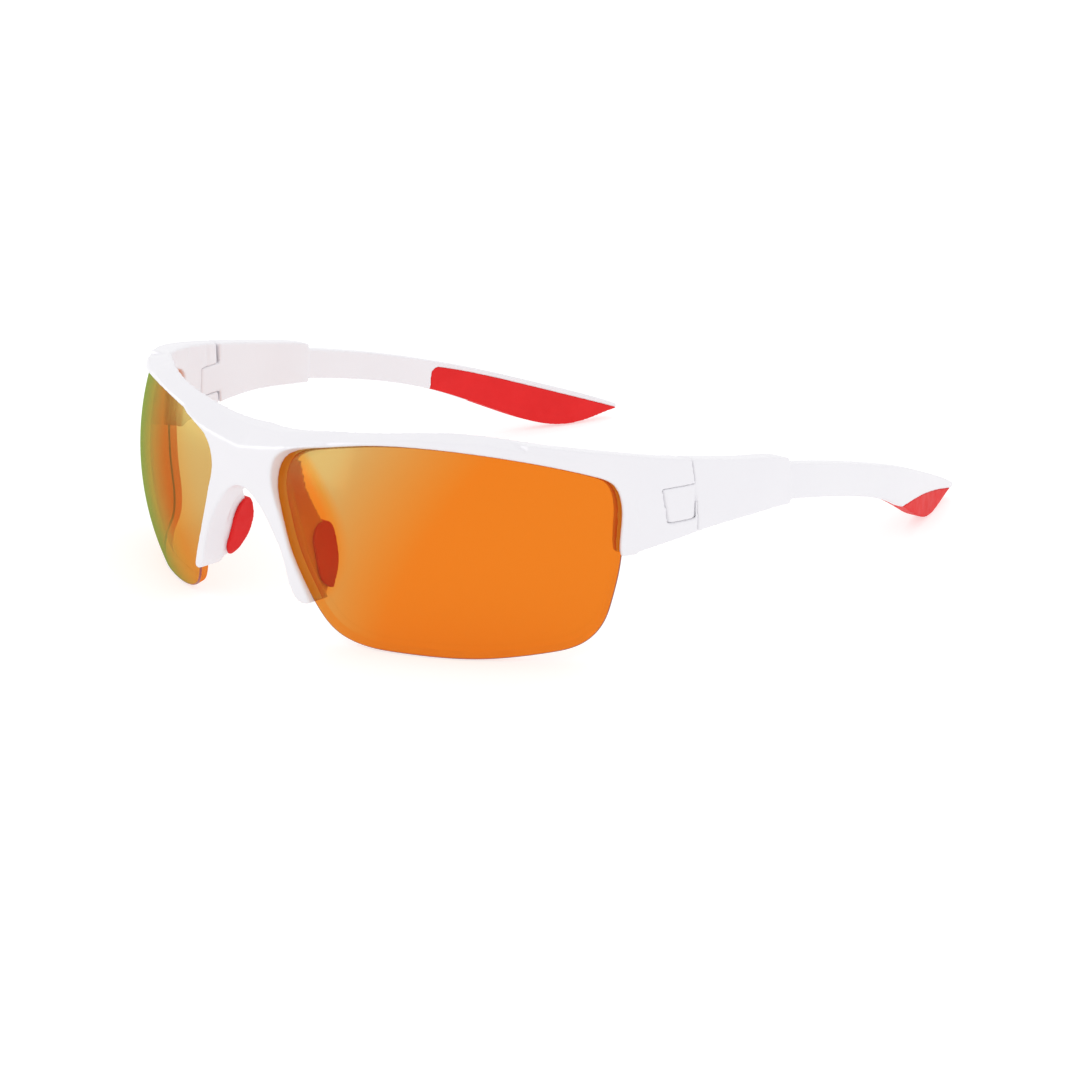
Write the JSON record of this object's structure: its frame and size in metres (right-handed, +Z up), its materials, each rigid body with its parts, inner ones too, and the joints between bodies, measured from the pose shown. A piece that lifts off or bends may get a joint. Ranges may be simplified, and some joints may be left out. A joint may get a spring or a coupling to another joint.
{
  "type": "wraparound sport sunglasses",
  "caption": "Half-rim wraparound sport sunglasses with mirrored orange spherical lenses, rubber nose pads, folding temples and rubber temple tips.",
  "frame": {"origin": "middle of the footprint, on the surface that the lens bottoms and the temple tips rest on", "axes": "+X to the wearer's left, -Y the way the wearer looks, +Z up; the open temples run to +Y"},
  "size_m": [0.1438, 0.1632, 0.0423],
  "materials": {
    "frame": "satin white",
    "lens": "polished polycarbonate with an orange mirror coat",
    "nose_rubber": "soft matte",
    "tip_rubber": "soft matte",
    "screw": "turned"
  },
  "bodies": {
    "front": {"front_frame": "frame", "lens_left": "lens", "lens_right": "lens", "nose_pad_left": "nose_rubber", "nose_pad_right": "nose_rubber", "hinge_screw_left": "screw", "hinge_screw_right": "screw"},
    "temple_left": {"temple_left": "frame", "temple_tip_pad_left": "tip_rubber"},
    "temple_right": {"temple_right": "frame", "temple_tip_pad_right": "tip_rubber"}
  },
  "joints": [
    {"name": "left_temple_fold", "type": "hinge", "parent": "front", "child": "temple_left", "pos_m": [0.0664, -0.03485, 0.0287], "axis": [0, 0, 1], "range_deg": [0, 90]},
    {"name": "right_temple_fold", "type": "hinge", "parent": "front", "child": "temple_right", "pos_m": [-0.0664, -0.03485, 0.0287], "axis": [0, 0, -1], "range_deg": [0, 78]}
  ]
}
